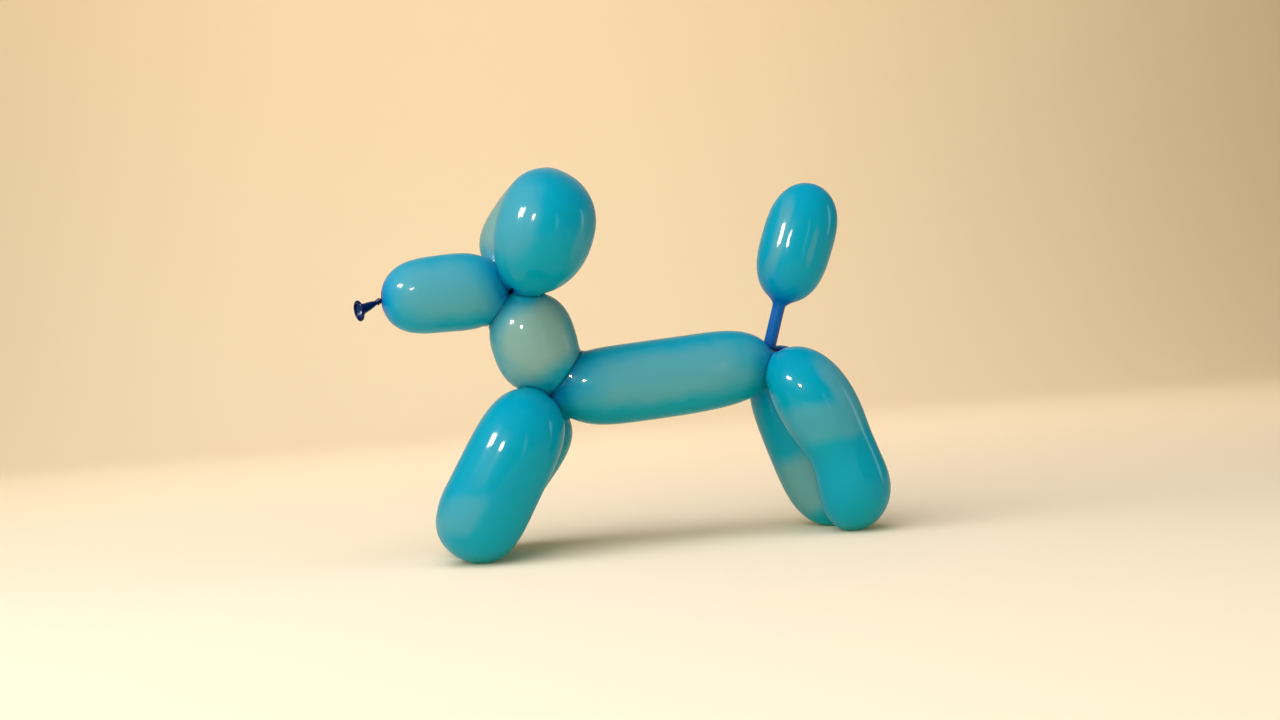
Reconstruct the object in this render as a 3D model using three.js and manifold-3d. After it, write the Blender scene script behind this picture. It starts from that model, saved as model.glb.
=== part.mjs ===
// A poodle twisted from one long latex modelling balloon. It stands on its four feet.
//
// Millimetres, +Z up. The floor is z = 0, the nose points towards -X, the tail is at +X,
// and the origin is on the floor under the middle of the poodle's box.
//
// The poodle is one piece: a single skin, tied once at the nozzle and twisted into ten
// bubbles. From the nozzle it runs through the nose, the two ears, the neck, the two front
// legs, the body, the two hind legs and the empty stem to the ball at the end of the tail.
// The skin is thin and sealed, so the air inside counts as part of the solid.

import * as THREE from "three";
import { mergeVertices } from "three/addons/utils/BufferGeometryUtils.js";
import Module from "manifold-3d";

const wasm = await Module();
wasm.setup();

// Facets of one bubble: sides around it, and rings from one end to the other
const BUBBLE_SIDES = 22;
const BUBBLE_RINGS = 16;

// How far one bubble of a pair (ears, front legs, hind legs) stands out from the mid-plane,
// and how far its two ends, its hug, curve back in towards the twists that hold the pair
const EAR_SPREAD = 28.2;
const EAR_HUG = 13;
const FRONT_LEG_SPREAD = 25.4;
const HIND_LEG_SPREAD = 23.5;
const LEG_HUG = 9;

// Each bubble in mm, named by the part of the poodle that it makes
// middle: its middle; the poodle's right side is -Y
// tilt: degrees by which its axis rises from +X
// fullness: 2 gives an ellipsoid, and more gives a straighter sausage with blunter ends
// taper: share by which the end that its axis points to is wider than the middle
// bow: how far its middle bends off the straight line between its ends
// bendAt, bendSpread: where along the axis it bends, from -1 to 1, and how gently
// waist: share by which it is narrower at the bend
const WAIST_SPREAD = 0.35;
const bubbles = {
  nose: {
    middle: [-105.8, 0, 163.2],
    tilt: 2.3,
    halfLength: 38,
    radius: 23.8,
    fullness: 3.4,
    taper: 0.03,
    bow: 0.8,
  },
  rightEar: {
    middle: [-44.9, -EAR_SPREAD, 197.3],
    tilt: 69.5,
    halfLength: 39,
    radius: 29.8,
    fullness: 2.2,
    taper: 0.04,
    bow: -1.4,
    hug: EAR_HUG,
  },
  leftEar: {
    middle: [-47.5, EAR_SPREAD, 203.9],
    tilt: 56.7,
    halfLength: 39,
    radius: 29.6,
    fullness: 2.4,
    taper: -0.08,
    bow: -3.4,
    hug: EAR_HUG,
  },
  neck: {
    middle: [-51.5, 0, 129.9],
    tilt: -76,
    halfLength: 31.8,
    radius: 26.3,
    fullness: 2.5,
    taper: -0.02,
    bow: -0.6,
  },
  rightFrontLeg: {
    middle: [-78.9, -FRONT_LEG_SPREAD, 51.3],
    tilt: -120.2,
    halfLength: 56,
    radius: 26.9,
    fullness: 4.2,
    taper: 0.03,
    bow: -0.4,
    hug: LEG_HUG,
  },
  leftFrontLeg: {
    middle: [-74.7, FRONT_LEG_SPREAD, 48],
    tilt: -128.3,
    halfLength: 56,
    radius: 26.9,
    fullness: 4.1,
    taper: -0.01,
    bow: -0.9,
    hug: LEG_HUG,
  },
  body: {
    middle: [27.2, 0, 103.9],
    tilt: 4.2,
    halfLength: 71,
    radius: 24.7,
    fullness: 4.6,
    taper: -0.01,
    bow: -1.2,
  },
  rightHindLeg: {
    middle: [123.7, -HIND_LEG_SPREAD, 58],
    tilt: -68.9,
    halfLength: 62,
    radius: 25,
    fullness: 4,
    taper: 0.03,
    bow: 5.5,
    bendAt: 0.2,
    bendSpread: 0.1,
    waist: 0.16,
    hug: LEG_HUG,
  },
  leftHindLeg: {
    middle: [120.1, HIND_LEG_SPREAD, 58.8],
    tilt: -70.3,
    halfLength: 62,
    radius: 25.1,
    fullness: 3.9,
    taper: 0.07,
    bow: -0.7,
    hug: LEG_HUG,
  },
  tailBall: {
    middle: [117.9, 0, 182.1],
    tilt: 69.7,
    halfLength: 39,
    radius: 22.7,
    fullness: 2.75,
    taper: 0.02,
    bow: -0.3,
  },
};

// The twists, where the skin of two or more bubbles is wrung into one hard gather
// that reaches out sideways to both bubbles of a pair
const twists = {
  head: { at: [-65, 0, 163], radius: 8, reach: 14 },
  crown: { at: [-35, 0, 226], radius: 6, reach: 12 },
  shoulder: { at: [-41, 0, 96], radius: 7, reach: 14 },
  frontFold: { at: [-103, 0, 14], radius: 6, reach: 12 },
  hip: { at: [100, 0, 114], radius: 7, reach: 14 },
  hindFold: { at: [139, 0, 12], radius: 6, reach: 12 },
};
const TWIST_SIDES = 12;
const TWIST_RINGS = 8;

// The empty stem of the tail, from inside the hip to inside the ball
const STEM_BOTTOM = [94, 0, 112];
const STEM_TOP = [105.6, 0, 149];
const STEM_RADIUS = 3.85;
const STEM_FLARE = 2.4;
const STEM_SIDES = 16;

// The nozzle: a knot at the nose, a short limp tube and a rolled rim
const NOZZLE_START = [-143.2, 0, 162.4];
const NOZZLE_DROOP = 9.5;
const NOZZLE_SWING = 25;
const NOZZLE_SAG = 3.4;
const NOZZLE_SIDES = 18;
const NOZZLE_BURIED = 5;
const NOZZLE_LENGTH = 15.6;
const NOZZLE_NECK_RADIUS = 1.4;
const KNOT_RADIUS = 2;
const NOZZLE_MOUTH_DEPTH = 2;
const RIM_RADIUS = 5.7;
const RIM_BEAD = 0.85;
const RIM_BEAD_ARC = 300;
const RIM_BEAD_STEPS = 6;

// The legs reach about 1 mm below the floor before this block cuts them,
// so that each foot rests on a small flat
const FLOOR_BLOCK = [400, 200, 20];

const LATEX = { color: 0x14a0b4, roughness: 0.2, metalness: 0 };

// A vector in the poodle's upright plane, that many degrees above +X
function heading(degrees) {
  const angle = THREE.MathUtils.degToRad(degrees);
  return new THREE.Vector3(Math.cos(angle), 0, Math.sin(angle));
}

// A closed geometry as a solid
function solid(geometry) {
  const bare = geometry.clone();
  bare.deleteAttribute("normal");
  bare.deleteAttribute("uv");
  const merged = mergeVertices(bare, 1e-4);
  return new wasm.Manifold(
    new wasm.Mesh({
      numProp: 3,
      vertProperties: new Float32Array(merged.attributes.position.array),
      triVerts: new Uint32Array(merged.index.array),
    }),
  );
}

// How far a bubble's centreline is off its axis at t, from -1 at one end to 1 at the other:
// two straight halves that meet in a round bend, and nothing at the ends
function centrelineOffset(t, bow, bendAt, bendSpread) {
  const corner = (u) => Math.hypot(u - bendAt, bendSpread);
  const chord = (u) => corner(-1) + ((corner(1) - corner(-1)) * (u + 1)) / 2;
  return (bow * (chord(t) - corner(t))) / (chord(bendAt) - corner(bendAt));
}

// One bubble: the vertices of a unit sphere, moved onto a tapered superellipsoid
// that is round across its bent centreline
function bubbleSolid({
  middle,
  tilt,
  halfLength,
  radius,
  fullness,
  taper,
  bow,
  bendAt = 0,
  bendSpread = 1,
  waist = 0,
  hug = 0,
}) {
  const geometry = new THREE.SphereGeometry(1, BUBBLE_SIDES, BUBBLE_RINGS);
  const vertices = geometry.attributes.position;
  const vertex = new THREE.Vector3();
  for (let i = 0; i < vertices.count; i++) {
    vertex.fromBufferAttribute(vertices, i);
    const t = Math.sign(vertex.y) * Math.abs(vertex.y) ** (2 / fullness);
    const narrowing = waist * Math.exp(-(((t - bendAt) / WAIST_SPREAD) ** 2));
    const girth = radius * (1 + taper * t) * (1 - narrowing);
    const across = centrelineOffset(t, bow, bendAt, bendSpread);
    const inwards = -Math.sign(middle[1]) * hug * Math.abs(t) ** 3;
    vertices.setXYZ(
      i,
      across + girth * vertex.x,
      halfLength * t,
      inwards + girth * vertex.z,
    );
  }
  const place = new THREE.Matrix4()
    .makeBasis(heading(tilt + 90), heading(tilt), new THREE.Vector3(0, 1, 0))
    .setPosition(...middle);
  return solid(geometry.applyMatrix4(place));
}

// One twist's gather of skin
function twistSolid({ at, radius, reach }) {
  const geometry = new THREE.SphereGeometry(1, TWIST_SIDES, TWIST_RINGS);
  return solid(geometry.scale(radius, reach, radius).translate(...at));
}

// The tail's stem, with a small flare where it swells into the ball
function stemSolid() {
  const bottom = new THREE.Vector3(...STEM_BOTTOM);
  const top = new THREE.Vector3(...STEM_TOP);
  const length = top.distanceTo(bottom);
  const profile = [
    [0, 0],
    [STEM_RADIUS, 0],
    [STEM_RADIUS, length - 3 * STEM_FLARE],
    [STEM_RADIUS + 0.3 * STEM_FLARE, length - 1.6 * STEM_FLARE],
    [STEM_RADIUS + STEM_FLARE, length - 0.6 * STEM_FLARE],
    [STEM_RADIUS + STEM_FLARE, length],
    [0, length],
  ];
  const geometry = new THREE.LatheGeometry(
    profile.map(([radius, height]) => new THREE.Vector2(radius, height)),
    STEM_SIDES,
  );
  const turn = new THREE.Quaternion().setFromUnitVectors(
    new THREE.Vector3(0, 1, 0),
    top.clone().sub(bottom).normalize(),
  );
  geometry.applyQuaternion(turn).translate(...STEM_BOTTOM);
  return solid(geometry);
}

// The nozzle, turned about its own axis and then sagging as it goes out
function nozzleSolid() {
  const end = NOZZLE_LENGTH;
  const bead = Array.from({ length: RIM_BEAD_STEPS + 1 }, (_, i) => {
    const angle = THREE.MathUtils.degToRad(
      RIM_BEAD_ARC * (i / RIM_BEAD_STEPS - 0.5),
    );
    return [
      RIM_RADIUS + RIM_BEAD * Math.cos(angle),
      end + RIM_BEAD * Math.sin(angle),
    ];
  });
  const profile = [
    [0, -NOZZLE_BURIED],
    [NOZZLE_NECK_RADIUS, -NOZZLE_BURIED],
    [NOZZLE_NECK_RADIUS, 0.8],
    [KNOT_RADIUS, 1.6],
    [KNOT_RADIUS, 3],
    [NOZZLE_NECK_RADIUS, 4],
    [2, 5.5],
    [2.6, 9],
    [3, 12],
    [3.8, 13.2],
    ...bead,
    [2.4, end - 0.5 * NOZZLE_MOUTH_DEPTH],
    [0, end - NOZZLE_MOUTH_DEPTH],
  ];
  const geometry = new THREE.LatheGeometry(
    profile.map(([radius, height]) => new THREE.Vector2(radius, height)),
    NOZZLE_SIDES,
  );
  const outwards = heading(180 + NOZZLE_DROOP).applyAxisAngle(
    new THREE.Vector3(0, 0, 1),
    THREE.MathUtils.degToRad(NOZZLE_SWING),
  );
  const turn = new THREE.Quaternion().setFromUnitVectors(
    new THREE.Vector3(0, 1, 0),
    outwards,
  );
  const vertices = geometry.attributes.position;
  const vertex = new THREE.Vector3();
  for (let i = 0; i < vertices.count; i++) {
    vertex.fromBufferAttribute(vertices, i);
    const sag = NOZZLE_SAG * Math.max(0, vertex.y / NOZZLE_LENGTH);
    vertex.applyQuaternion(turn);
    vertices.setXYZ(i, vertex.x, vertex.y, vertex.z - sag);
  }
  return solid(geometry.translate(...NOZZLE_START));
}

// Everything below the floor
function floorSolid() {
  const block = new THREE.BoxGeometry(...FLOOR_BLOCK);
  return solid(block.translate(0, 0, -FLOOR_BLOCK[2] / 2));
}

// A solid as a named mesh
function meshOf(name, body, material) {
  const { vertProperties, triVerts } = body.getMesh();
  const geometry = new THREE.BufferGeometry();
  geometry.setAttribute(
    "position",
    new THREE.BufferAttribute(vertProperties, 3),
  );
  geometry.setIndex(new THREE.BufferAttribute(triVerts, 1));
  geometry.computeVertexNormals();
  const mesh = new THREE.Mesh(
    geometry,
    new THREE.MeshStandardMaterial(material),
  );
  mesh.name = name;
  return mesh;
}

const pieces = [
  ...Object.values(bubbles).map(bubbleSolid),
  ...Object.values(twists).map(twistSolid),
  stemSolid(),
  nozzleSolid(),
];
const skin = pieces
  .reduce((joined, piece) => joined.add(piece))
  .subtract(floorSolid());

const poodle = new THREE.Group();
poodle.name = "balloon_poodle";
poodle.add(meshOf("twisted_balloon", skin, LATEX));

export default poodle;
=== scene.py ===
"""A poodle twisted from one long latex balloon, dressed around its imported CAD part.

The CAD node is one solid. Here the same bubbles are made again as what they are, one thin
closed tube of latex: from the mouth of the nozzle through the knot, the nose, the two
ears, the neck, the two front legs, the body, the two hind legs and the empty stem to the
ball of the tail. The bubbles press flat against each other and the floor, and the skin
gathers in pleats at each twist.

Shapes are worked out in millimetres in the part's own frame: +Z up, the nose towards -X,
the poodle's right side, which faces the camera, towards -Y.
"""

import math

import bpy
import numpy as np
from mathutils import Matrix, Vector


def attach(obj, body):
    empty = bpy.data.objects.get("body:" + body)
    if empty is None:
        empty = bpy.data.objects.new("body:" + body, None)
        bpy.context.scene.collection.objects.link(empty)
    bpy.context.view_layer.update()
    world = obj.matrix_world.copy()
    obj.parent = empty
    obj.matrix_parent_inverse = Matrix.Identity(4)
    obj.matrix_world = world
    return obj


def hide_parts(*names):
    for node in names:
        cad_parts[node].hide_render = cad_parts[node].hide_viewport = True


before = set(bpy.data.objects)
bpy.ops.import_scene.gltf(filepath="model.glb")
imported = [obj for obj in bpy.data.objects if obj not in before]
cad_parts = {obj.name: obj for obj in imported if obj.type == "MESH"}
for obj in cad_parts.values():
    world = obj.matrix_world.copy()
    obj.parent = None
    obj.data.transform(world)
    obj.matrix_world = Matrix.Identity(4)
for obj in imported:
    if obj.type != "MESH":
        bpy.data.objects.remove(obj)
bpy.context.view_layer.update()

MM = 0.001
# Keeps a direction from being divided by nothing
TINY = 1e-12

# Points around the tube, and rings along each bubble's domes and between them. A dome's
# rings crowd towards its twist by the power DOME_CROWDING. The rings between the domes go
# over at least the middle SHORTEST_SPAN of a bubble's length
SIDES = 96
DOME_RINGS = 26
RING_SPACING = 3.0
DOME_CROWDING = 1.3
SHORTEST_SPAN = 0.2
FEWEST_MIDDLE_RINGS = 3

# The bubbles, with the values of the CAD part
# tilt: degrees by which the axis rises from +X; fullness: 2 gives an ellipsoid, more
# gives blunter ends; taper: share by which the end that the axis points to is wider;
# bow: how far the middle bends off the axis; hug: how far the ends curve in sideways
EAR_SPREAD = 28.2
EAR_HUG = 13
FRONT_LEG_SPREAD = 25.4
HIND_LEG_SPREAD = 23.5
LEG_HUG = 9
BUBBLES = {
    "nose": dict(
        middle=(-105.8, 0, 163.2), tilt=2.3, half_length=38, radius=23.8,
        fullness=3.4, taper=0.03, bow=0.8,
    ),
    "right_ear": dict(
        middle=(-44.9, -EAR_SPREAD, 197.3), tilt=69.5, half_length=39, radius=29.8,
        fullness=2.2, taper=0.04, bow=-1.4, hug=EAR_HUG,
    ),
    "left_ear": dict(
        middle=(-47.5, EAR_SPREAD, 203.9), tilt=56.7, half_length=39, radius=29.6,
        fullness=2.4, taper=-0.08, bow=-3.4, hug=EAR_HUG,
    ),
    "neck": dict(
        middle=(-51.5, 0, 129.9), tilt=-76, half_length=31.8, radius=26.3,
        fullness=2.5, taper=-0.02, bow=-0.6,
    ),
    "right_front_leg": dict(
        middle=(-78.9, -FRONT_LEG_SPREAD, 51.3), tilt=-120.2, half_length=56,
        radius=26.9, fullness=4.2, taper=0.03, bow=-0.4, hug=LEG_HUG,
    ),
    "left_front_leg": dict(
        middle=(-74.7, FRONT_LEG_SPREAD, 48), tilt=-128.3, half_length=56,
        radius=26.9, fullness=4.1, taper=-0.01, bow=-0.9, hug=LEG_HUG,
    ),
    "body": dict(
        middle=(27.2, 0, 103.9), tilt=4.2, half_length=71, radius=24.7,
        fullness=4.6, taper=-0.01, bow=-1.2,
    ),
    "right_hind_leg": dict(
        middle=(123.7, -HIND_LEG_SPREAD, 58), tilt=-68.9, half_length=62, radius=25,
        fullness=4, taper=0.03, bow=5.5, bend_at=0.2, bend_spread=0.1, waist=0.16,
        hug=LEG_HUG,
    ),
    "left_hind_leg": dict(
        middle=(120.1, HIND_LEG_SPREAD, 58.8), tilt=-70.3, half_length=62,
        radius=25.1, fullness=3.9, taper=0.07, bow=-0.7, hug=LEG_HUG,
    ),
    "tail_ball": dict(
        middle=(117.9, 0, 182.1), tilt=69.7, half_length=39, radius=22.7,
        fullness=2.75, taper=0.02, bow=-0.3,
    ),
}
WAIST_SPREAD = 0.35
# The taper and the bend go on this far along the axis, where 1 is the bubble's end
HELD_SPAN = 1.2

# Bubbles that press on each other
TOUCHING = [
    ("nose", "right_ear"),
    ("nose", "left_ear"),
    ("nose", "neck"),
    ("right_ear", "left_ear"),
    ("right_ear", "neck"),
    ("left_ear", "neck"),
    ("neck", "right_front_leg"),
    ("neck", "left_front_leg"),
    ("neck", "body"),
    ("right_front_leg", "left_front_leg"),
    ("right_front_leg", "body"),
    ("left_front_leg", "body"),
    ("body", "right_hind_leg"),
    ("body", "left_hind_leg"),
    ("right_hind_leg", "left_hind_leg"),
]
CONTACT_GAP = 0.01
CONTACT_ROUNDING = 0.4

# The pull of a twist closes a narrow gap between two bubbles, up to CLOSED_GAP mm wide
# anywhere and up to TWIST_GAP more right at the twist, within about TWIST_PULL mm of it:
# less at the hip, where the bubbles stay apart around the stem. PRESS is how much further
# than touching they are pushed together. The closing fades out where the gap grows to
# FREE_SHARE times the widest closed one and FREE_EXTRA mm more
CLOSED_GAP = 1.2
TWIST_GAP = {
    "knot": 2.6, "head": 2.6, "crown": 2.6, "shoulder": 2.6, "front_fold": 2.6,
    "hip": 0.4, "hind_fold": 2.6,
}
TWIST_PULL = 11.0
PRESS = 0.9
FREE_SHARE = 2.5
FREE_EXTRA = 1.0
FLOOR_ROUNDING = 0.8

# The skin is found along rays, by halving a length of RAY_REACH radii HALVINGS times
RAY_REACH = 2.5
HALVINGS = 26

# The twists, where the skin is wrung shut to a strand of this radius
TWISTS = {
    "knot": (-144.6, -0.4, 162.2),
    "head": (-65, 0, 163),
    "crown": (-35, 0, 226),
    "shoulder": (-41, 0, 96),
    "front_fold": (-103, 0, 14),
    "hip": (100, 0, 114),
    "hind_fold": (139, 0, 12),
}
STRAND_RADIUS = 1.5
NIPPLE_SPREAD = 5.0

# Pleats at a twist: how many, their depth and reach in mm, their turn in radians for each
# mm, and the direction that they are counted from
PLEATS = 11
PLEAT_DEPTH = 0.32
PLEAT_REACH = 5.5
PLEAT_SPIRAL = 0.16
PLEATS_FROM = (0.3, 1, 0.2)

# How far in mm from a twist the skin is still slack, so thicker and darker, with values of
# their own for some bubbles. The far hind leg's longer reach at the hip is partly painted
# shade, for the shade that falls on its top there. Slack is cut off at 1, so it is full up
# to some distance
SLACK_REACH = {
    "knot": 6.5, "head": 7.5, "crown": 4.5, "shoulder": 6.0, "front_fold": 4.0,
    "hip": 6.0, "hind_fold": 4.0, ("left_hind_leg", "hip"): 12.0, ("neck", "head"): 2.5,
}
FULL_SLACK = 1.3
STEM_SLACK_REACH = 8.0

# The angle at which the rings of a dome stop being round about its twist
POLE_ANGLE = math.radians(60)

# The direction across the poodle, and one that no narrow tube runs along, which says where
# the rings of such a tube start
SIDEWAYS = np.array([0, 1, 0])
RINGS_FROM = (0.1, 1, 0.15)

# The way the balloon goes from the knot to the tail: bubble, the twist where it starts,
# the twist where it ends, and whether it goes the way its axis points
PATH = [
    ("nose", "knot", "head", True),
    ("right_ear", "head", "crown", True),
    ("left_ear", "crown", "head", False),
    ("neck", "head", "shoulder", True),
    ("right_front_leg", "shoulder", "front_fold", True),
    ("left_front_leg", "front_fold", "shoulder", False),
    ("body", "shoulder", "hip", True),
    ("right_hind_leg", "hip", "hind_fold", True),
    ("left_hind_leg", "hind_fold", "hip", False),
]

# The empty stem, on the line from STEM_BOTTOM to STEM_TOP: it leaves the hip at the height
# STEM_START, swells, and its top spreads into the ball at BALL_NECK
STEM_BOTTOM = (94, 0, 112)
STEM_TOP = (105.6, 0, 149)
STEM_RADIUS = 3.85
STEM_FILLET = 5.5
STEM_RINGS = 30
STEM_START = 115
STEM_SWELLS = 4
STEM_SLACK = 0.64
BALL_NECK = (103.3, 0, 141.7)
BALL_TIP = (132, 0, 220)
TIP_SLACK = 0.2
TIP_NECK = 0.25
# Creases round the stem: number, turn in radians from its bottom to its top, and depth as
# a share of its radius
STEM_CREASES = [(4, 0.4, 0.05), (7, 0.0, 0.03)]

# The nozzle, from the part: its way out of the nose, its sag, and its outline as
# (radius, distance out). It starts at the closed end inside its mouth
NOZZLE_START = (-143.2, 0, 162.4)
NOZZLE_DROOP = 9.5
NOZZLE_SWING = 25
NOZZLE_SAG = 3.4
NOZZLE_LENGTH = 15.6
NOZZLE_BORE = [
    (0.3, 9.0), (0.9, 9.1), (1.4, 9.8), (1.8, 11.2), (2.2, 12.4), (3.0, 13.5), (4.1, 14.5),
]
NOZZLE_RIM_RADIUS = 5.6
NOZZLE_BEAD = 0.85
NOZZLE_BEAD_RINGS = 12
NOZZLE_BEAD_START = 200
NOZZLE_BEAD_TURN = 330
NOZZLE_TUBE = [
    (4.4, 14.2), (3.7, 13.3), (3.2, 12.4), (3.0, 11.4), (2.8, 10.2), (2.6, 9.0),
    (2.35, 7.8), (2.1, 6.6), (1.85, 5.6), (1.55, 4.7),
]

# Folds round the nozzle: number, turn in radians, and depth in mm. They are this deep where
# the bore's radius is NOZZLE_FOLDED_RADIUS, and NOZZLE_FOLDED_LENGTH mm behind
# NOZZLE_FOLDS_END on the tube, and get deeper with the radius and further back
NOZZLE_FOLDS = [(5, 1.0, 0.06), (3, 0.0, 0.05)]
NOZZLE_FOLDED_RADIUS = 3
NOZZLE_FOLDED_LENGTH = 5
NOZZLE_FOLDS_END = 15

# The knot, a swelling over KNOT_SPAN that bulges to one side, which winds round it
KNOT_RADIUS = 1.9
KNOT_END_RADIUS = 1.3
KNOT_SPAN = (0.9, 4.1)
KNOT_RINGS = 22
KNOT_WRAP = 0.35
KNOT_WRAP_TURNS = 1.7
KNOT_SWELL_POWER = 0.6

# How slack the parts of the nozzle are, from its mouth to the knot
DISH_SLACK = 0.85
BEAD_SLACK = 1.0
TUBE_SLACK = 0.95
KNOT_SLACK = 1.0

# Long shallow waves of the hand-blown skin: direction, length in mm, phase. They fade out
# as the skin gets slack, the sooner the higher UNEVEN_FADE is
UNEVEN_WAVES = [((1, 0.4, 0.3), 46, 0.4), ((-0.3, 1, 0.6), 37, 2.1), ((0.5, -0.2, 1), 53, 4.0)]
UNEVEN_DEPTH = 0.07
UNEVEN_FADE = 1.5

# The latex's sRGB colours, from fully stretched, 0, to quite slack, 1
LATEX_COLOURS = [
    (0.0, (0, 164, 196)),
    (0.14, (0, 158, 206)),
    (0.34, (0, 140, 208)),
    (0.62, (0, 106, 192)),
    (0.8, (0, 68, 146)),
    (1.0, (0, 22, 76)),
]
# Painted light: pale patches on both sides of a bubble, which stand for reflections of the
# room and for light showing through the thin latex. Each gives its middle along the axis and
# across it, reach both ways, slant, and strength. Both directions run from -1 to 1 over the
# bubble as it is seen from the side. A patch is gone at the end value below times its
# reach. Where patches overlap, the one that is further in counts more, by the blend power
PAINTED_LIGHT_PATCHES = {
    "nose": [(-0.02, 0.05, 0.68, 0.72, -0.2, 0.26)],
    "right_ear": [
        (0.0, 0.72, 0.62, 0.46, 0.0, 0.18),
        (0.0, -0.74, 0.5, 0.14, 0.1, 0.14),
    ],
    "left_ear": [(0.0, 0.72, 0.75, 0.45, 0.0, 0.7)],
    "neck": [(-0.08, 0.0, 0.64, 0.85, -0.1, 0.74)],
    "right_front_leg": [
        (0.55, -0.5, 0.24, 0.4, -0.3, 0.18),
        (-0.1, -0.42, 0.3, 0.1, 0.0, 0.06),
    ],
    "left_front_leg": [(-0.3, 0.3, 0.3, 0.5, 0.0, 0.2)],
    "body": [(0.04, 0.1, 0.7, 0.6, 0.05, 0.3)],
    "right_hind_leg": [
        (-0.39, 0.55, 0.37, 0.3, 0.0, 0.24),
        (-0.22, -0.2, 0.2, 0.85, 0.1, 0.2),
    ],
    "left_hind_leg": [(0.45, -0.5, 0.3, 0.5, 0.0, 0.45)],
    "tail_ball": [
        (0.0, 0.66, 0.6, 0.14, 0.0, 0.22),
        (-0.05, -0.24, 0.3, 0.08, 0.1, 0.16),
        (0.0, -1.0, 0.6, 0.16, 0.0, 0.2),
    ],
}
PAINTED_LIGHT_COLOUR = (152, 180, 164)
LIGHT_PATCH_EDGE = 0.7
LIGHT_PATCH_SQUARENESS = 4
LIGHT_PATCH_END = 1.5
LIGHT_PATCH_BLEND = 4
LEAST_WEIGHT = 1e-6
RAGGEDNESS = 0.6
CLOUD_SCALE = 60.0
CLOUD_DETAIL = 4.0

# Painted shade: the skin is painted darker close to a bubble that presses on it and shades
# it. SHADE_REACH gives the gap in mm over which this fades, for each bubble and the one that
# shades it, and OTHER_SHADE_REACH otherwise. PIT_REACH is the same where a bubble is close
# to two others, in the pits
SHADE_COLOUR = (0, 36, 110)
SHADE_REACH = {
    ("nose", "right_ear"): 1.8,
    ("neck", "nose"): 3.2,
    ("neck", "right_ear"): 1.4,
    ("neck", "right_front_leg"): 1.6,
    ("body", "neck"): 9.0,
    ("body", "right_front_leg"): 3.2,
    ("body", "right_hind_leg"): 4.0,
    ("left_front_leg", "right_front_leg"): 1.5,
    ("left_hind_leg", "right_hind_leg"): 1.5,
}
OTHER_SHADE_REACH = 0.8
SHADE_DEPTH = 0.7
PIT_REACH = 2.6
PIT_DEPTH = 1.2
# The gap in mm that stands for no bubble at all
NO_NEIGHBOUR = 100.0

# The latex's surface
LATEX_ROUGHNESS = 0.3
LATEX_SPECULAR = 0.04
COAT_WEIGHT = 0.5
COAT_ROUGHNESS = 0.05
COAT_IOR = 1.35
TRANSLUCENCE = 0.35

# The studio in metres: a pale sheet, flat and then curved up behind the poodle, as the
# distances back of its flat part's points, the radius of the curve and the sheet's height
SHEET_FLAT = (-3.0, -1.0, 0.6, 1.4)
SHEET_CURVE = 1.0
SHEET_CURVE_STEPS = 16
SHEET_HEIGHT = 4.0
SHEET_HALF_WIDTH = 4.0
PAPER_COLOUR = (246, 227, 198)
PAPER_ROUGHNESS = 0.85
PAPER_SPECULAR = 0.2

# The room's own light, and lights as name, direction (right, up, towards the camera),
# distance, size, power, colour. The soft ones are wide and leave no reflection, and the
# lamps are small and only show as glints
ROOM_COLOUR = (240, 222, 145)
ROOM_STRENGTH = 0.2
SOFT_LIGHTS = [
    ("sky_light", (-0.3, 1.0, 0.35), 1.4, (1.6, 1.2), 21.0, (222, 230, 248)),
    ("left_light", (-1.0, 0.4, 0.45), 1.4, (1.0, 1.2), 10.0, (235, 238, 236)),
    ("front_light", (-0.35, 0.3, 1.0), 1.5, (1.4, 1.2), 12.0, (250, 246, 236)),
    ("right_light", (1.0, 0.25, 0.45), 1.5, (1.2, 1.4), 5.0, (235, 240, 255)),
]
# Stands for light off a warm floor, so it shines through the sheet
LOW_LIGHT = ("low_light", (0.25, -0.9, 0.6), 0.8, (1.2, 0.7), 5.8, (255, 198, 0))
BACKDROP_LIGHT = ("backdrop_light", (0.0, 0.6, 1.0), 1.5, (2.4, 0.6), 16.0, (255, 246, 236))
BACKDROP_MIDDLE = (0.2, 2.0, 0.4)
LAMPS = [
    ("key_lamp", (-0.7, 0.43, 0.45), 1.1, (0.22, 0.17), 20.0, (255, 252, 245)),
    ("second_lamp", (-0.42, 0.34, 0.85), 1.2, (0.12, 0.12), 14.0, (255, 252, 245)),
]
# Cards that fade towards their edges, which only show as a pale sheen
CARD_EDGE = 0.5
CARDS = [
    ("left_card", (-1.0, 0.45, 0.0), 1.3, (0.9, 1.4), 0.8, (200, 240, 255)),
    ("right_card", (0.45, 0.1, 0.9), 1.4, (0.25, 1.2), 3.5, (225, 240, 255)),
    ("side_card", (1.0, 0.2, -0.1), 1.4, (0.3, 1.2), 6.0, (225, 240, 255)),
]

# The camera stands where the photograph was taken from, turned a little about its own
# axis. Its target and distance are in mm, its angles in degrees, and NEAREST_SEEN in metres
CAMERA_TARGET = (12.96, 0, 115.0)
CAMERA_DISTANCE = 950
CAMERA_YAW = 8.0
CAMERA_PITCH = -0.68
CAMERA_ROLL = 3.867
LENS = 42.75
SENSOR = 36.0
NEAREST_SEEN = 0.01


def linear(colour):
    """An sRGB colour, 0 to 255, as linear numbers, by the sRGB formula."""
    shares = [c / 255 for c in colour]
    return [s / 12.92 if s <= 0.04045 else ((s + 0.055) / 1.055) ** 2.4 for s in shares]


def unit(vector):
    """The vector or vectors at a length of 1."""
    return vector / np.linalg.norm(vector, axis=-1, keepdims=True)


def ripples(angles, waves):
    """The sum of waves round a ring, each given as its number, turn and depth."""
    return sum(depth * np.cos(number * angles + turn) for number, turn, depth in waves)


def smooth_max(a, b, rounding):
    """The larger of the two, with the edge where they meet rounded off."""
    overlap = np.clip(rounding - np.abs(a - b), 0, None) / rounding
    return np.maximum(a, b) + 0.25 * rounding * overlap**2


def smoothstep(x):
    """0 up to 0, 1 from 1 on, and a smooth rise in between."""
    x = np.clip(x, 0, 1)
    return x * x * (3 - 2 * x)


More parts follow.
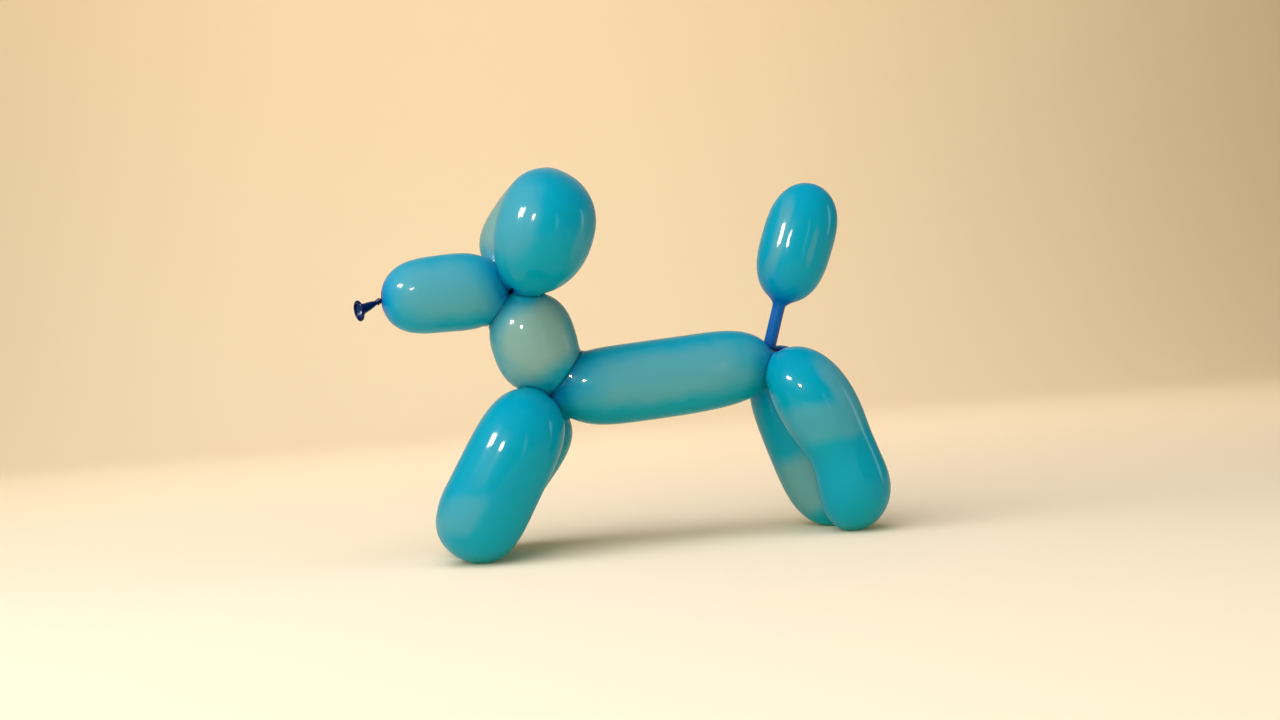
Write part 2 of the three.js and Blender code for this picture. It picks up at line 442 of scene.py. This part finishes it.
class Bubble:
    """One bubble as a field: below 0 inside, 0 on the skin, about mm outside it."""

    def __init__(self, middle, tilt, half_length, radius, fullness, taper, bow,
                 bend_at=0.0, bend_spread=1.0, waist=0.0, hug=0.0):
        angle = math.radians(tilt)
        self.middle = np.array(middle, float)
        self.axis = np.array([math.cos(angle), 0, math.sin(angle)])
        self.normal = np.array([-math.sin(angle), 0, math.cos(angle)])
        self.half_length = half_length
        self.radius = radius
        self.fullness = fullness
        self.taper = taper
        self.bow = bow
        self.bend_at = bend_at
        self.bend_spread = bend_spread
        self.waist = waist
        self.inwards = -np.sign(middle[1]) * hug

    def bend(self, t):
        """How far the centreline is off the axis, in the upright plane."""

        def corner(u):
            return np.hypot(u - self.bend_at, self.bend_spread)

        def chord(u):
            return corner(-1) + (corner(1) - corner(-1)) * (u + 1) / 2

        rise = chord(self.bend_at) - corner(self.bend_at)
        return self.bow * (chord(t) - corner(t)) / rise

    def centreline(self, t):
        """Points of the centreline, where t is -1 and 1 at the bubble's ends."""
        t = np.asarray(t, float)
        held = np.clip(t, -HELD_SPAN, HELD_SPAN)
        point = self.middle + self.axis * (self.half_length * t)[..., None]
        point = point + self.normal * self.bend(held)[..., None]
        sideways = self.inwards * np.abs(held) ** 3
        return point + SIDEWAYS * sideways[..., None]

    def girth(self, t):
        """The radius about the centreline, before the ends round it off."""
        narrowing = self.waist * np.exp(-(((t - self.bend_at) / WAIST_SPREAD) ** 2))
        widening = self.taper * np.clip(t, -HELD_SPAN, HELD_SPAN)
        return self.radius * (1 + widening) * (1 - narrowing)

    def field(self, points):
        """The field at points in the part's frame."""
        t = (points - self.middle) @ self.axis / self.half_length
        across = np.linalg.norm(points - self.centreline(t), axis=-1)
        reach = np.abs(t) ** self.fullness + (across / self.girth(t)) ** 2
        return self.radius * (np.sqrt(reach) - 1)


bubbles = {name: Bubble(**values) for name, values in BUBBLES.items()}
twists = {name: np.array(point, float) for name, point in TWISTS.items()}


def neighbours(name):
    """The names of the bubbles that one bubble presses on."""
    return [pair[0] if pair[1] == name else pair[1] for pair in TOUCHING if name in pair]


def closed_gap(points):
    """The widest gap between two bubbles that is pulled shut, at each point."""
    pulls = []
    for twist, at in twists.items():
        distance = np.linalg.norm(points - at, axis=-1)
        pulls.append(TWIST_GAP[twist] * np.exp(-((distance / TWIST_PULL) ** 2)))
    return CLOSED_GAP + np.max(pulls, 0)


def skin_field(name, points):
    """The field of one bubble as it is pressed by its neighbours and the floor."""
    own = bubbles[name].field(points)
    others = [bubbles[other].field(points) for other in neighbours(name)]
    closed = closed_gap(points)
    free = FREE_SHARE * closed + FREE_EXTRA
    swell = np.zeros(len(points))
    for other in others:
        gap = own + other
        fade = smoothstep((gap - closed) / (free - closed))
        closing = np.clip(0.5 * gap + PRESS, 0, None) * (1 - fade)
        swell = np.maximum(swell, closing)
    pressed = own - swell
    for other in others:
        contact = (own - other) / 2 + CONTACT_GAP
        pressed = smooth_max(pressed, contact, CONTACT_ROUNDING)
    return smooth_max(pressed, -points[..., 2], FLOOR_ROUNDING)


def skin_points(name, origins, directions):
    """Where rays from inside a bubble meet its pressed skin."""
    near = np.zeros(len(origins))
    far = np.full(len(origins), RAY_REACH * bubbles[name].radius)
    for _ in range(HALVINGS):
        middle = (near + far) / 2
        inside = skin_field(name, origins + directions * middle[:, None]) < 0
        near = np.where(inside, middle, near)
        far = np.where(inside, far, middle)
    return origins + directions * ((near + far) / 2)[:, None]


def dome_directions(across, pole, closeness):
    """Ray directions of one ring of a dome.

    across: the directions of the ring where the dome starts; pole: the direction of the
    twist; closeness: 1 at the start of the dome and nearly 0 at the twist. Rings are
    round about the pole near it, and turn gradually into the first ring.
    """
    full_angle = np.arccos(across @ pole)
    angle = closeness * POLE_ANGLE + closeness**2 * (full_angle - POLE_ANGLE)
    away = unit(across - np.outer(across @ pole, pole))
    return np.cos(angle)[:, None] * pole + np.sin(angle)[:, None] * away


def draw_out(ring, pole_point, target, neck, spread):
    """Pulls the skin around a pole out to a target in a rounded neck."""
    distance = np.linalg.norm(ring - pole_point, axis=-1)
    x = np.clip((distance - neck) / spread, 0, 1)
    pull = 1 - np.sqrt(1 - (1 - x) ** 2)
    return ring + pull[:, None] * (target - pole_point)


def gather(ring, pole_point, pole, neck, slack_reach, pleat_depth):
    """Slack and pleats of the skin near one end of a bubble."""
    offset = ring - pole_point
    distance = np.linalg.norm(offset, axis=-1)
    first = unit(np.cross(pole, PLEATS_FROM))
    second = np.cross(pole, first)
    azimuth = np.arctan2(offset @ second, offset @ first)
    past_neck = np.clip(distance - neck, 0, None)
    slack = np.minimum(1, FULL_SLACK * np.exp(-past_neck / slack_reach))
    fade = np.exp(-((distance / PLEAT_REACH) ** 2))
    pleats = np.cos(PLEATS * azimuth + PLEAT_SPIRAL * PLEATS * distance)
    return slack, pleat_depth * fade * pleats


def around(forwards=True):
    """Angles of the points of a ring, turning the same way about the balloon's path."""
    return 2 * math.pi * np.arange(SIDES) / SIDES * (1 if forwards else -1)


def painted_light_at(name, points):
    """How far points lie inside the patches of painted light, 0.5 at their edge, and how pale.
    """
    bubble = bubbles[name]
    t = (points - bubble.middle) @ bubble.axis / bubble.half_length
    across = (points - bubble.centreline(t)) @ bubble.normal / bubble.girth(t)
    inside = np.zeros(len(points))
    weights = np.full(len(points), LEAST_WEIGHT)
    strength = np.zeros(len(points))
    for middle, side, t_reach, side_reach, slant, patch_strength in PAINTED_LIGHT_PATCHES[name]:
        u = (t - middle - slant * (across - side)) / t_reach
        v = (across - side) / side_reach
        outwards = (u**LIGHT_PATCH_SQUARENESS + v**LIGHT_PATCH_SQUARENESS) ** (1 / LIGHT_PATCH_SQUARENESS)
        patch = np.clip(LIGHT_PATCH_END - outwards, 0, 1)
        weight = patch**LIGHT_PATCH_BLEND
        strength = strength + patch_strength * weight
        weights = weights + weight
        inside = np.maximum(inside, patch)
    return inside, strength / weights


def contact_shade(name, points):
    """How much painted shade the skin gets near the bubbles that press on this one."""
    gaps = [np.full(len(points), NO_NEIGHBOUR)]
    shade = np.zeros(len(points))
    for other in neighbours(name):
        gap = np.clip(bubbles[other].field(points), 0, None)
        reach = SHADE_REACH.get((name, other), OTHER_SHADE_REACH)
        shade = np.maximum(shade, SHADE_DEPTH * np.exp(-gap / reach))
        gaps.append(gap)
    to_second = np.sort(gaps, 0)[:2].sum(0)
    return np.clip(shade + PIT_DEPTH * np.exp(-to_second / PIT_REACH), 0, 1)


def bubble_rings(name, start, end, forwards=True):
    """Rings of one bubble from its first end to its last, with what colours its skin.

    start and end each give the point that the end is drawn to, the radius of its neck,
    how far the neck spreads over the bubble, how far short of the point the skin stops,
    how deep its pleats are, and how slack it is and how far that reaches.
    """
    bubble = bubbles[name]
    sense = 1 if forwards else -1
    half_span = max(SHORTEST_SPAN, 1 - bubble.radius / bubble.half_length)
    angles = around(forwards)
    across = np.outer(np.cos(angles), bubble.normal) + np.outer(np.sin(angles), SIDEWAYS)

    def ring_from(origin, directions):
        return skin_points(name, np.tile(origin, (SIDES, 1)), directions)

    ends = []
    for spec, side in ((start, -1), (end, 1)):
        origin = bubble.centreline(side * sense * half_span)
        pole = unit(spec["point"] - origin)
        pole_point = skin_points(name, origin[None], pole[None])[0]
        ends.append((spec, origin, pole, pole_point))

    def dome(spec, origin, pole, pole_point):
        nearest = spec["neck"] / np.linalg.norm(pole_point - origin) / POLE_ANGLE
        shares = np.linspace(0, 1, DOME_RINGS + 1) ** DOME_CROWDING
        return [
            ring_from(origin, dome_directions(across, pole, closeness))
            for closeness in nearest + (1 - nearest) * shares
        ]

    length = 2 * half_span * bubble.half_length
    count = max(FEWEST_MIDDLE_RINGS, round(length / RING_SPACING))
    middles = [
        ring_from(bubble.centreline(sense * t), across)
        for t in np.linspace(-half_span, half_span, count + 1)[1:-1]
    ]
    rings = dome(*ends[0]) + middles + dome(*ends[1])[::-1]

    made = []
    for ring in rings:
        drawn = ring
        slack = np.zeros(SIDES)
        relief = np.zeros(SIDES)
        for spec, _, pole, pole_point in ends:
            end_slack, pleats = gather(
                ring, pole_point, pole, spec["neck"], spec["slack_reach"], spec["pleats"]
            )
            slack = np.maximum(slack, end_slack * spec["slack"])
            relief = relief + pleats
            if spec["spread"]:
                target = spec["point"] - spec["back"] * pole
                drawn = draw_out(drawn, pole_point, target, spec["neck"], spec["spread"])
        # The patches of painted light and the painted shade at these points
        patch, painted_light = painted_light_at(name, drawn)
        shade = contact_shade(name, drawn)
        made.append(dict(
            points=drawn, slack=slack, relief=relief, patch=patch, painted_light=painted_light, shade=shade,
        ))
    return made


def tube_ring(centre, direction, radii):
    """One ring of a narrow tube, square to its direction."""
    first = unit(np.cross(RINGS_FROM, direction))
    second = np.cross(first, direction)
    angles = around()
    return centre + radii[:, None] * (
        np.outer(np.cos(angles), first) + np.outer(np.sin(angles), second)
    )


def plain_ring(ring, slack, shade=0.0):
    """A ring that is alike all round, with no relief, no patch of painted light and an even
    painted shade.
    """
    none = np.zeros(SIDES)
    return dict(
        points=ring, slack=np.full(SIDES, slack), relief=none, patch=none, painted_light=none,
        shade=np.full(SIDES, shade),
    )


def nozzle_rings():
    """The nozzle from the closed end of its mouth, over the rolled rim, to the knot."""
    droop = math.radians(180 + NOZZLE_DROOP)
    swing = math.radians(NOZZLE_SWING)
    outwards = np.array([
        math.cos(droop) * math.cos(swing),
        math.cos(droop) * math.sin(swing),
        math.sin(droop),
    ])
    bead = []
    for share in np.linspace(0, 1, NOZZLE_BEAD_RINGS):
        angle = math.radians(NOZZLE_BEAD_START - NOZZLE_BEAD_TURN * share)
        bead.append((
            NOZZLE_RIM_RADIUS + NOZZLE_BEAD * math.cos(angle),
            NOZZLE_LENGTH + NOZZLE_BEAD * math.sin(angle),
        ))
    angles = around()
    made = []

    def add(radius, out, slack, relief=0.0):
        sag = NOZZLE_SAG * max(0, out / NOZZLE_LENGTH)
        centre = np.array(NOZZLE_START) + outwards * out - np.array([0, 0, sag])
        ring = tube_ring(centre, -outwards, np.full(SIDES, radius) + relief)
        made.append(plain_ring(ring, slack))

    folds = ripples(angles, NOZZLE_FOLDS)
    for radius, out in NOZZLE_BORE:
        add(radius, out, DISH_SLACK, folds * radius / NOZZLE_FOLDED_RADIUS)
    for radius, out in bead:
        add(radius, out, BEAD_SLACK)
    for radius, out in NOZZLE_TUBE:
        depth = (NOZZLE_FOLDS_END - out) / NOZZLE_FOLDED_LENGTH
        add(radius, out, TUBE_SLACK, folds * depth)
    for share in np.linspace(1, 0, KNOT_RINGS):
        out = KNOT_SPAN[0] + (KNOT_SPAN[1] - KNOT_SPAN[0]) * share
        swell = math.sin(math.pi * share) ** KNOT_SWELL_POWER
        turn = 2 * math.pi * KNOT_WRAP_TURNS * share
        wraps = np.cos(angles - turn) * KNOT_WRAP * swell
        radius = KNOT_END_RADIUS + (KNOT_RADIUS - KNOT_END_RADIUS) * swell
        add(radius, out, KNOT_SLACK, wraps)
    return made


def stem_rings(end):
    """The empty stem, from the hip to the neck of the tail's ball."""
    direction = unit(np.array(STEM_TOP, float) - np.array(STEM_BOTTOM))
    length = (end[2] - STEM_START) / direction[2]
    angles = around()
    made = []
    for share in np.linspace(0, 1, STEM_RINGS):
        along = length * share
        centre = end - (length - along) * direction
        swell = min(1, along / STEM_SWELLS)
        swell = math.sqrt(1 - (1 - swell) ** 2)
        radius = STRAND_RADIUS + (STEM_RADIUS - STRAND_RADIUS) * swell
        creases = sum(
            depth * np.cos(number * angles + turn * share)
            for number, turn, depth in STEM_CREASES
        )
        ring = tube_ring(centre, direction, radius * (1 + creases * swell))
        # Painted shade at the stem's foot by the hip, fading over its first few mm
        made.append(plain_ring(ring, STEM_SLACK, math.exp(-along / STEM_SWELLS)))
    return made


def joined(runs):
    """All the runs of rings as one long list, each turned to meet the last one."""
    rings = []
    for run in runs:
        turn = 0
        if rings:
            last = rings[-1]["points"] - rings[-1]["points"].mean(0)
            first = run[0]["points"] - run[0]["points"].mean(0)
            last = last / np.linalg.norm(last)
            first = first / np.linalg.norm(first)
            misfits = [np.sum((last - np.roll(first, k, 0)) ** 2) for k in range(SIDES)]
            turn = int(np.argmin(misfits))
        for ring in run:
            rings.append({key: np.roll(part, turn, 0) for key, part in ring.items()})
    return rings


def unevenness(points):
    """Hand-blown latex isn't quite regular: long, very shallow waves, in mm."""
    waves = np.zeros(points.shape[:-1])
    for direction, length, phase in UNEVEN_WAVES:
        along = points @ unit(np.array(direction))
        waves = waves + np.sin(along * (2 * math.pi / length) + phase)
    return UNEVEN_DEPTH * waves


def skin_mesh(rings):
    """The one closed mesh of the balloon, with what colours its skin at each point."""
    grid = {key: np.array([ring[key] for ring in rings]) for key in rings[0]}
    points = grid["points"]
    around_ring = np.roll(points, -1, 1) - np.roll(points, 1, 1)
    along_tube = np.gradient(points, axis=0)
    outwards = unit(np.cross(along_tube, around_ring) + TINY)
    taut = np.clip(1 - UNEVEN_FADE * grid["slack"], 0, 1)
    relief = grid["relief"] + unevenness(points) * taut
    points = points + outwards * relief[..., None]

    count = len(points)
    vertices = points.reshape(-1, 3)
    tips = np.array([points[0].mean(0), points[-1].mean(0)])
    vertices = np.vstack([vertices, tips]) * MM
    index = np.arange(count * SIDES).reshape(count, SIDES)
    following = np.roll(index, -1, 1)
    quads = np.stack([index[:-1], index[1:], following[1:], following[:-1]], -1)
    faces = quads.reshape(-1, 4).tolist()
    first_tip = count * SIDES
    for side in range(SIDES):
        faces.append([int(following[0, side]), first_tip, int(index[0, side])])
        faces.append([int(index[-1, side]), first_tip + 1, int(following[-1, side])])

    mesh = bpy.data.meshes.new("balloon_skin")
    mesh.from_pydata(vertices.tolist(), [], faces)
    mesh.shade_smooth()
    # The slack, and the painted light and painted shade, are kept on the mesh's points
    for name in ("slack", "patch", "painted_light", "shade"):
        field = grid[name]
        values = np.concatenate([field.ravel(), [field[0].mean(), field[-1].mean()]])
        attribute = mesh.attributes.new(name, "FLOAT", "POINT")
        attribute.data.foreach_set("value", values.astype(np.float32))
    mesh.validate()
    return mesh


def twist_end(name, bubble):
    """One end of a bubble, at the named twist."""
    reach = SLACK_REACH.get((bubble, name), SLACK_REACH[name])
    return dict(point=twists[name], neck=STRAND_RADIUS, spread=NIPPLE_SPREAD, back=STRAND_RADIUS,
                pleats=PLEAT_DEPTH, slack=1.0, slack_reach=reach)


stem_end = np.array(BALL_NECK, float)
runs = [nozzle_rings()]
for name, start, end, with_axis in PATH:
    ends = twist_end(start, name), twist_end(end, name)
    runs.append(bubble_rings(name, *ends, with_axis))
runs.append(stem_rings(stem_end))
ball_start = dict(point=stem_end, neck=STEM_RADIUS, spread=STEM_FILLET, back=0.0,
                  pleats=0.0, slack=STEM_SLACK, slack_reach=STEM_SLACK_REACH)
ball_end = dict(point=np.array(BALL_TIP, float), neck=TIP_NECK, spread=0.0, back=0.0,
                pleats=0.0, slack=TIP_SLACK, slack_reach=STEM_SLACK_REACH)
runs.append(bubble_rings("tail_ball", ball_start, ball_end))

skin = bpy.data.objects.new("balloon_skin", skin_mesh(joined(runs)))
bpy.context.scene.collection.objects.link(skin)


def mesh_value(nodes, name):
    """A value that the mesh keeps for each of its points."""
    value = nodes.new("ShaderNodeAttribute")
    value.attribute_name = name
    return value.outputs["Fac"]


def tinted(nodes, links, colour, tint, amount):
    """A colour, blended towards a plain one by an amount from 0 to 1."""
    blend = nodes.new("ShaderNodeMix")
    blend.data_type = "RGBA"
    blend.inputs["B"].default_value = (*linear(tint), 1)
    links.new(amount, blend.inputs["Factor"])
    links.new(colour, blend.inputs["A"])
    return blend.outputs["Result"]


def slack_colour(nodes, links):
    """The colour of the latex, from fully stretched to slack."""
    colours = nodes.new("ShaderNodeValToRGB")
    ramp = colours.color_ramp
    ramp.interpolation = "EASE"
    while len(ramp.elements) < len(LATEX_COLOURS):
        ramp.elements.new(0.5)
    for element, (position, colour) in zip(ramp.elements, LATEX_COLOURS):
        element.position = position
        element.color = (*linear(colour), 1)
    links.new(mesh_value(nodes, "slack"), colours.inputs["Fac"])
    return colours.outputs["Color"]


def painted_light_amount(nodes, links):
    """How much of the painted pale light shows: the mesh's patches, with a ragged soft edge."""
    clouds = nodes.new("ShaderNodeTexNoise")
    clouds.inputs["Scale"].default_value = CLOUD_SCALE
    clouds.inputs["Detail"].default_value = CLOUD_DETAIL
    place = nodes.new("ShaderNodeTexCoord")
    links.new(place.outputs["Object"], clouds.inputs["Vector"])
    ragged = nodes.new("ShaderNodeMath")
    ragged.operation = "MULTIPLY_ADD"
    ragged.inputs[1].default_value = RAGGEDNESS
    links.new(clouds.outputs["Fac"], ragged.inputs[0])
    links.new(mesh_value(nodes, "patch"), ragged.inputs[2])
    edge_middle = 0.5 + RAGGEDNESS / 2
    clear = nodes.new("ShaderNodeMapRange")
    clear.interpolation_type = "SMOOTHSTEP"
    clear.inputs["From Min"].default_value = edge_middle - LIGHT_PATCH_EDGE / 2
    clear.inputs["From Max"].default_value = edge_middle + LIGHT_PATCH_EDGE / 2
    links.new(ragged.outputs["Value"], clear.inputs["Value"])
    amount = nodes.new("ShaderNodeMath")
    amount.operation = "MULTIPLY"
    links.new(mesh_value(nodes, "painted_light"), amount.inputs[0])
    links.new(clear.outputs["Result"], amount.inputs[1])
    return amount.outputs["Value"]


def balloon_latex():
    """Stretched latex: glossy and a little see-through.

    It is darker where it is slack, painted darker with shade near the bubbles that press
    on it, and painted paler in patches that stand for reflections and light through it.
    """
    material = bpy.data.materials.new("balloon_latex")
    material.use_nodes = True
    nodes = material.node_tree.nodes
    links = material.node_tree.links
    nodes.clear()
    output = nodes.new("ShaderNodeOutputMaterial")
    shader = nodes.new("ShaderNodeBsdfPrincipled")
    glow = nodes.new("ShaderNodeBsdfTranslucent")
    mix = nodes.new("ShaderNodeMixShader")
    colour = slack_colour(nodes, links)
    # Painted light: pale patches that stand for reflections and light through the latex
    colour = tinted(nodes, links, colour, PAINTED_LIGHT_COLOUR, painted_light_amount(nodes, links))
    # Painted shade close to the bubbles that press on this one, darkest in the pits
    colour = tinted(nodes, links, colour, SHADE_COLOUR, mesh_value(nodes, "shade"))
    links.new(colour, shader.inputs["Base Color"])
    links.new(colour, glow.inputs["Color"])
    shader.inputs["Roughness"].default_value = LATEX_ROUGHNESS
    shader.inputs["Specular IOR Level"].default_value = LATEX_SPECULAR
    shader.inputs["Coat Weight"].default_value = COAT_WEIGHT
    shader.inputs["Coat Roughness"].default_value = COAT_ROUGHNESS
    shader.inputs["Coat IOR"].default_value = COAT_IOR
    mix.inputs["Fac"].default_value = TRANSLUCENCE
    links.new(shader.outputs["BSDF"], mix.inputs[1])
    links.new(glow.outputs["BSDF"], mix.inputs[2])
    links.new(mix.outputs["Shader"], output.inputs["Surface"])
    return material


skin.data.materials.append(balloon_latex())
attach(skin, "root")
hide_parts("twisted_balloon")


def studio_sheet():
    """The floor and backdrop: one pale sheet, curved up behind the poodle."""
    profile = [(back, 0.0) for back in SHEET_FLAT]
    for step in range(1, SHEET_CURVE_STEPS + 1):
        angle = math.radians(90 * step / SHEET_CURVE_STEPS)
        back = SHEET_FLAT[-1] + SHEET_CURVE * math.sin(angle)
        profile.append((back, SHEET_CURVE * (1 - math.cos(angle))))
    profile.append((SHEET_FLAT[-1] + SHEET_CURVE, SHEET_HEIGHT))
    vertices = [(side * SHEET_HALF_WIDTH, y, z) for y, z in profile for side in (-1, 1)]
    faces = [(2 * i, 2 * i + 1, 2 * i + 3, 2 * i + 2) for i in range(len(profile) - 1)]
    mesh = bpy.data.meshes.new("studio_sheet")
    mesh.from_pydata(vertices, [], faces)
    mesh.shade_smooth()
    sheet = bpy.data.objects.new("studio_sheet", mesh)
    bpy.context.scene.collection.objects.link(sheet)
    material = bpy.data.materials.new("studio_paper")
    material.use_nodes = True
    shader = material.node_tree.nodes["Principled BSDF"]
    shader.inputs["Base Color"].default_value = (*linear(PAPER_COLOUR), 1)
    shader.inputs["Roughness"].default_value = PAPER_ROUGHNESS
    shader.inputs["Specular IOR Level"].default_value = PAPER_SPECULAR
    mesh.materials.append(material)
    return sheet


studio_sheet()


def camera_axes():
    """The camera's right, up and forwards directions."""
    yaw = math.radians(CAMERA_YAW)
    pitch = math.radians(CAMERA_PITCH)
    roll = math.radians(CAMERA_ROLL)
    forwards = Vector((
        math.sin(yaw) * math.cos(pitch),
        math.cos(yaw) * math.cos(pitch),
        math.sin(pitch),
    ))
    level_right = Vector((math.cos(yaw), -math.sin(yaw), 0))
    level_up = level_right.cross(forwards)
    right = math.cos(roll) * level_right - math.sin(roll) * level_up
    up = math.sin(roll) * level_right + math.cos(roll) * level_up
    return right, up, forwards


right, up, forwards = camera_axes()
target = Vector(CAMERA_TARGET) * MM
camera_data = bpy.data.cameras.new("camera")
camera_data.lens = LENS
camera_data.sensor_width = SENSOR
camera_data.clip_start = NEAREST_SEEN
camera = bpy.data.objects.new("camera", camera_data)
place = target - forwards * CAMERA_DISTANCE * MM
turn = Matrix((right, up, -forwards)).transposed()
camera.matrix_world = Matrix.Translation(place) @ turn.to_4x4()
bpy.context.scene.collection.objects.link(camera)
bpy.context.scene.camera = camera


def aim_at(thing, direction, distance, middle=target):
    """Places a light or card about the poodle, or another middle, and turns it to that.

    direction says how far right, up and towards the camera it is.
    """
    towards = direction[0] * right + direction[1] * up - direction[2] * forwards
    towards = towards.normalized()
    thing.location = middle + towards * distance
    thing.rotation_euler = towards.to_track_quat("Z", "Y").to_euler()
    bpy.context.scene.collection.objects.link(thing)


def area_light(name, direction, distance, size, power, colour, middle=target):
    """A flat rectangular light, placed and turned by aim_at."""
    data = bpy.data.lights.new(name, "AREA")
    data.shape = "RECTANGLE"
    data.size, data.size_y = size
    data.energy = power
    data.color = linear(colour)
    light = bpy.data.objects.new(name, data)
    aim_at(light, direction, distance, middle)
    return light


def card_glow(name, half_width, half_height, strength, colour):
    """Light that fades to nothing towards the edges of a card of this size."""
    material = bpy.data.materials.new(name)
    material.use_nodes = True
    nodes = material.node_tree.nodes
    links = material.node_tree.links
    nodes.clear()
    output = nodes.new("ShaderNodeOutputMaterial")
    glow = nodes.new("ShaderNodeEmission")
    glow.inputs["Color"].default_value = (*linear(colour), 1)
    place = nodes.new("ShaderNodeTexCoord")
    spread = nodes.new("ShaderNodeMapping")
    spread.inputs["Scale"].default_value = (1 / half_width, 1 / half_height, 1)
    fade = nodes.new("ShaderNodeTexGradient")
    fade.gradient_type = "SPHERICAL"
    soften = nodes.new("ShaderNodeMapRange")
    soften.interpolation_type = "SMOOTHSTEP"
    soften.inputs["From Max"].default_value = CARD_EDGE
    soften.inputs["To Max"].default_value = strength
    links.new(place.outputs["Object"], spread.inputs["Vector"])
    links.new(spread.outputs["Vector"], fade.inputs["Vector"])
    links.new(fade.outputs["Fac"], soften.inputs["Value"])
    links.new(soften.outputs["Result"], glow.inputs["Strength"])
    links.new(glow.outputs["Emission"], output.inputs["Surface"])
    return material


def soft_card(name, direction, distance, size, strength, colour):
    """A glowing card that only shows as a reflection."""
    half_width, half_height = size[0] / 2, size[1] / 2
    corners = [(-1, -1), (1, -1), (1, 1), (-1, 1)]
    vertices = [(x * half_width, y * half_height, 0) for x, y in corners]
    mesh = bpy.data.meshes.new(name)
    mesh.from_pydata(vertices, [], [(3, 2, 1, 0)])
    mesh.materials.append(card_glow(name, half_width, half_height, strength, colour))
    card = bpy.data.objects.new(name, mesh)
    aim_at(card, direction, distance)
    card.visible_camera = False
    card.visible_shadow = False
    card.visible_diffuse = False
    card.visible_transmission = False
    return card


for values in SOFT_LIGHTS:
    area_light(*values).visible_glossy = False
low_light = area_light(*LOW_LIGHT)
low_light.visible_glossy = False
low_light.data.use_shadow = False
area_light(*BACKDROP_LIGHT, middle=Vector(BACKDROP_MIDDLE)).visible_glossy = False
for values in LAMPS:
    lamp = area_light(*values)
    lamp.visible_diffuse = False
    lamp.visible_transmission = False
for values in CARDS:
    soft_card(*values)

world = bpy.data.worlds.new("studio")
world.use_nodes = True
background = world.node_tree.nodes["Background"]
background.inputs["Color"].default_value = (*linear(ROOM_COLOUR), 1)
background.inputs["Strength"].default_value = ROOM_STRENGTH
bpy.context.scene.world = world
bpy.context.scene.view_settings.view_transform = "Standard"
